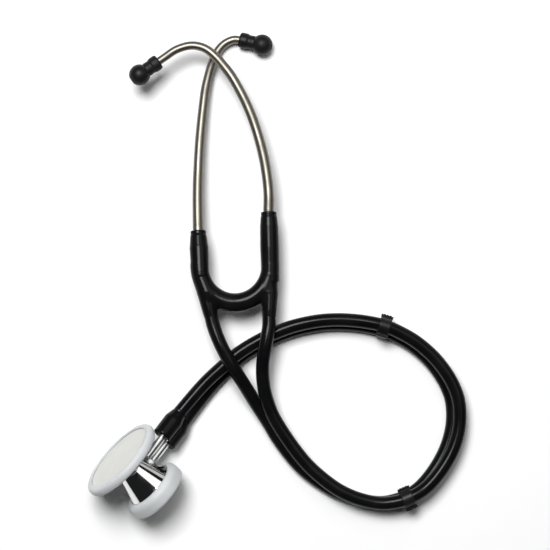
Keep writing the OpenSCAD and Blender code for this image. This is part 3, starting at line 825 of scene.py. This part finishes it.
ear_tube(
    "left_bent_tube", left_pivot, left_arm_axis, LEFT_ARM, LEFT_TUBE,
    "left_ear", "left_ear_tube",
)
ear_tube(
    "right_bent_tube", right_pivot, right_arm_axis, RIGHT_ARM, RIGHT_TUBE,
    "right_ear", "right_ear_tube",
)

TIP_REACH = 0.0171  # from the tube's end to the bulb's crown
BULB_CENTRE = 0.0108
BULB_R = 0.0063


def ear_tip(name, joint, mount, body, node):
    axis = unit(joints[joint]["axis"])
    origin = np.array(mounts[mount]["pos_m"]) - TIP_REACH * axis
    place = place_of(origin, np.cross(axis, (0, 0, 1)), axis)
    arc = [
        (BULB_R * math.cos(a), BULB_CENTRE + BULB_R * math.sin(a))
        for a in np.linspace(math.radians(-50), math.radians(68), 22)
    ]
    outline = rounded([
        (0.0, 0.0045), (0.0030, 0.0045), (0.0030, -0.0028), (0.0034, -0.0032),
        (0.0041, -0.0032), (0.0046, -0.0026), (0.0047, -0.0012), (0.0047, 0.0008),
        (0.0045, 0.0017), (0.0041, 0.0022), (0.0041, 0.0035), (0.0043, 0.0048),
        *arc, (0.0019, 0.0164), (0.0015, 0.0154), (0.0013, 0.0120), (0.0, 0.0120),
    ], 0.0006, 3)
    obj = lathe(name, outline, place, 96)
    return fit(obj, tip_rubber, "soft_tip_rubber", body, node)


ear_tip("left_tip_bulb", "left_tip_pull", "left_ear_seal", "left_tip", "left_ear_tip")
ear_tip("right_tip_bulb", "right_tip_pull", "right_ear_seal", "right_tip", "right_ear_tip")

# ---------------------------------------------------------------- chestpiece

head_place = place_of(head_centre, stem_axis, head_axis)
COLLAR_START, COLLAR_LENGTH, COLLAR_R = 0.0072, 0.0034, 0.0078
HEAD_GAP = 0.0003
COLLAR_CLEARANCE = 0.0002
STEM_SEAT = 0.0016
STEM_GRIP = 0.014
STEM_SOUND_BORE_R = 0.0018


def stem_piece(name, side, node):
    """A stem from its seat in the collar to its end in the cuff, with a small bead."""
    origin = stem_point(COLLAR_START + STEM_SEAT, side, STEM_PITCH)
    place = place_of(origin, head_axis, stem_axis)
    length = CUFF_START + STEM_GRIP - COLLAR_START - STEM_SEAT
    rise = COLLAR_LENGTH - STEM_SEAT
    outline = rounded([
        (STEM_SOUND_BORE_R, 0.0), (STEM_R, 0.0), (STEM_R, rise),
        (STEM_R + 0.0002, rise + 0.0001), (STEM_R + 0.0002, rise + 0.0003),
        (STEM_R, rise + 0.0005), (STEM_R, length - 0.0005), (STEM_R - 0.0003, length),
        (STEM_SOUND_BORE_R, length),
    ], 0.0003, 3)
    obj = lathe(name, outline, place, 64, closed=True)
    return fit(obj, satin_chrome, "polished_metal", ROOT, node)


stem_piece("left_stem_tube", -1, "left_stem")
stem_piece("right_stem_tube", 1, "right_stem")

collar_outline = rounded([
    (0.0, 0.0), (0.0074, 0.0), (0.0078, 0.0003), (0.0078, 0.0006), (0.0075, 0.0008),
    (0.0078, 0.0010), (0.0078, 0.0030), (0.0074, 0.0034), (0.0, 0.0034),
], 0.00025, 3)
collar_place = place_of(
    head_centre + COLLAR_START * stem_axis, np.cross(head_axis, stem_axis), stem_axis
)
fit(
    lathe("valve_collar_ring", collar_outline, collar_place, 96),
    satin_chrome, "polished_metal", ROOT, "valve_collar",
)


# The turned trumpet, from the bell to the diaphragm's flange, in millimetres
TRUMPET_STATIONS = [-13, -12, -7.2, 0, 6.9, 9.2, 10.8, 11.8, 12.6]
TRUMPET_RADII = [16.2, 16.1, 14.1, 11.5, 9.0, 9.2, 10.4, 13.0, 16.0]
TRUMPET_START, TRUMPET_END = -0.0130, 0.0126
TRUMPET_SLOPE = 0.8  # brings the flared field nearer to a true distance
TRUMPET_BOX = 0.021
TRUMPET_CELL = 0.0005


def head_field(points):
    """The trumpet, with a pocket for the collar and the stems."""
    along, away = axis_field(points, head_centre, head_axis)
    waist = away - np.interp(along * 1000, TRUMPET_STATIONS, np.array(TRUMPET_RADII) * MM)
    ends = np.maximum(TRUMPET_START - along, along - TRUMPET_END)
    trumpet = np.maximum(waist * TRUMPET_SLOPE, ends)
    along_stems, off_stems = axis_field(points, head_centre, stem_axis)
    pocket = np.maximum(
        off_stems - COLLAR_R - COLLAR_CLEARANCE, COLLAR_START - HEAD_GAP - along_stems
    )
    return smooth_max(trumpet, -pocket, 0.0003)


head_waist = isosurface(
    "head_trumpet", head_field, head_centre - TRUMPET_BOX, head_centre + TRUMPET_BOX,
    TRUMPET_CELL,
)
fit(head_waist, chrome, "polished_metal", "head", "head_body")

# Turned outlines: radius and height along the head's axis, in metres
flange_outline = rounded([
    (0.0016, 0.0149), (0.0195, 0.0155), (0.0214, 0.0161), (0.0242, 0.0161),
    (0.0242, 0.0132), (0.0234, 0.0128), (0.0150, 0.0124), (0.0120, 0.0119),
    (0.0016, 0.0119),
], 0.0006, 3)
fit(
    lathe("diaphragm_cup", flange_outline, head_place, 160, closed=True),
    chrome, "polished_metal", "head",
)

bell_outline = rounded([
    (0.0016, -0.0069), (0.0050, -0.0074), (0.0096, -0.0088), (0.0132, -0.0110),
    (0.0146, -0.0140), (0.0149, -0.0166), (0.0162, -0.0162), (0.0162, -0.0134),
    (0.0148, -0.0122), (0.0130, -0.0100), (0.0100, -0.0072), (0.0016, -0.0062),
], 0.0009, 4)
fit(
    lathe("bell_cup", bell_outline, head_place, 160, closed=True),
    chrome, "polished_metal", "head",
)

rim_outline = rounded([
    (0.0220, 0.01705), (0.0242, 0.01705), (0.0242, 0.0132), (0.0234, 0.0128),
    (0.0216, 0.0126), (0.0216, 0.0122), (0.0242, 0.0121), (0.0254, 0.0128),
    (0.0259, 0.0141), (0.0259, 0.0158), (0.0254, 0.0169), (0.0244, 0.0175),
    (0.0232, 0.0176), (0.0220, 0.0174),
], 0.0008, 4)
fit(
    lathe("diaphragm_rim_ring", rim_outline, head_place, 192, closed=True),
    rim_rubber, "rim_rubber", "head", "diaphragm_rim",
)

bell_rim_outline = rounded([
    (0.0146, -0.0080), (0.0158, -0.0100), (0.0162, -0.0120), (0.0162, -0.0162),
    (0.0149, -0.0166), (0.0149, -0.0172), (0.0155, -0.0174), (0.0172, -0.0174),
    (0.0182, -0.0169), (0.0187, -0.0158), (0.0187, -0.0114), (0.0182, -0.0098),
    (0.0172, -0.0086), (0.0156, -0.0080),
], 0.0008, 4)
fit(
    lathe("bell_rim_ring", bell_rim_outline, head_place, 192, closed=True),
    rim_rubber, "rim_rubber", "head", "bell_rim",
)

sheet_outline = rounded([
    (0.0, 0.0166), (0.0190, 0.01658), (0.0206, 0.0167), (0.0222, 0.0169),
    (0.0224, 0.0164), (0.0224, 0.0161), (0.0, 0.0161),
], 0.0004, 3)
fit(
    lathe("diaphragm_disc", sheet_outline, head_place, 192),
    diaphragm_sheet, "diaphragm_plastic", "head", "diaphragm",
)

# ---- CAD nodes that show as they are
for node, material in {
    "leaf_spring": spring_steel,
    "left_tip_ferrule": turned_metal,
    "right_tip_ferrule": turned_metal,
    "valve_spindle": turned_metal,
    "spindle_o_ring": seal_rubber,
    "retaining_screw": turned_metal,
    "detent_ball": turned_metal,
    "detent_spring": spring_steel,
    "detent_plug": turned_metal,
    "diaphragm_retainer": turned_metal,
}.items():
    dress(frame["nodes"][node], material)

# ---------------------------------------------------------------- stage and light


def floor_material():
    material, tree, shader = new_material("floor_paper", Roughness=0.9, Specular_IOR_Level=0.1)
    grain = texture(tree, "noise", 30, detail=2)
    tree.links.new(
        mixed_colour(tree, grain, (0.90, 0.90, 0.90), (0.92, 0.92, 0.92)),
        shader.inputs["Base Color"],
    )
    return material


FLOOR_SIZE = 3.0
floor = mesh_object(
    "floor",
    [(x * FLOOR_SIZE, y * FLOOR_SIZE, 0.0) for x, y in ((-1, -1), (1, -1), (1, 1), (-1, 1))],
    [(0, 1, 2, 3)],
)
dress(floor, floor_material())


def area_light(name, position, size, energy):
    data = bpy.data.lights.new(name, "AREA")
    data.shape = "RECTANGLE"
    data.size, data.size_y = size
    data.energy = energy
    obj = bpy.data.objects.new(name, data)
    bpy.context.scene.collection.objects.link(obj)
    obj.location = position
    obj.rotation_mode = "QUATERNION"
    obj.rotation_quaternion = (VIEW_TARGET - obj.location).to_track_quat("-Z", "Y")


area_light("key_light", Vector((-0.19, 0.37, 1.27)), (0.55, 0.55), 20.5)
area_light("card_light", Vector((0.42, 0.46, 1.15)), (1.2, 0.9), 4.4)
area_light("low_card_light", Vector((0.75, 0.95, 0.35)), (0.9, 0.4), 0.7)

world = bpy.data.worlds.new("room")
world.use_nodes = True
background = world.node_tree.nodes["Background"]
background.inputs["Color"].default_value = (0.9, 0.95, 1.0, 1)
background.inputs["Strength"].default_value = 0.015
bpy.context.scene.world = world
bpy.context.scene.view_settings.view_transform = "Standard"
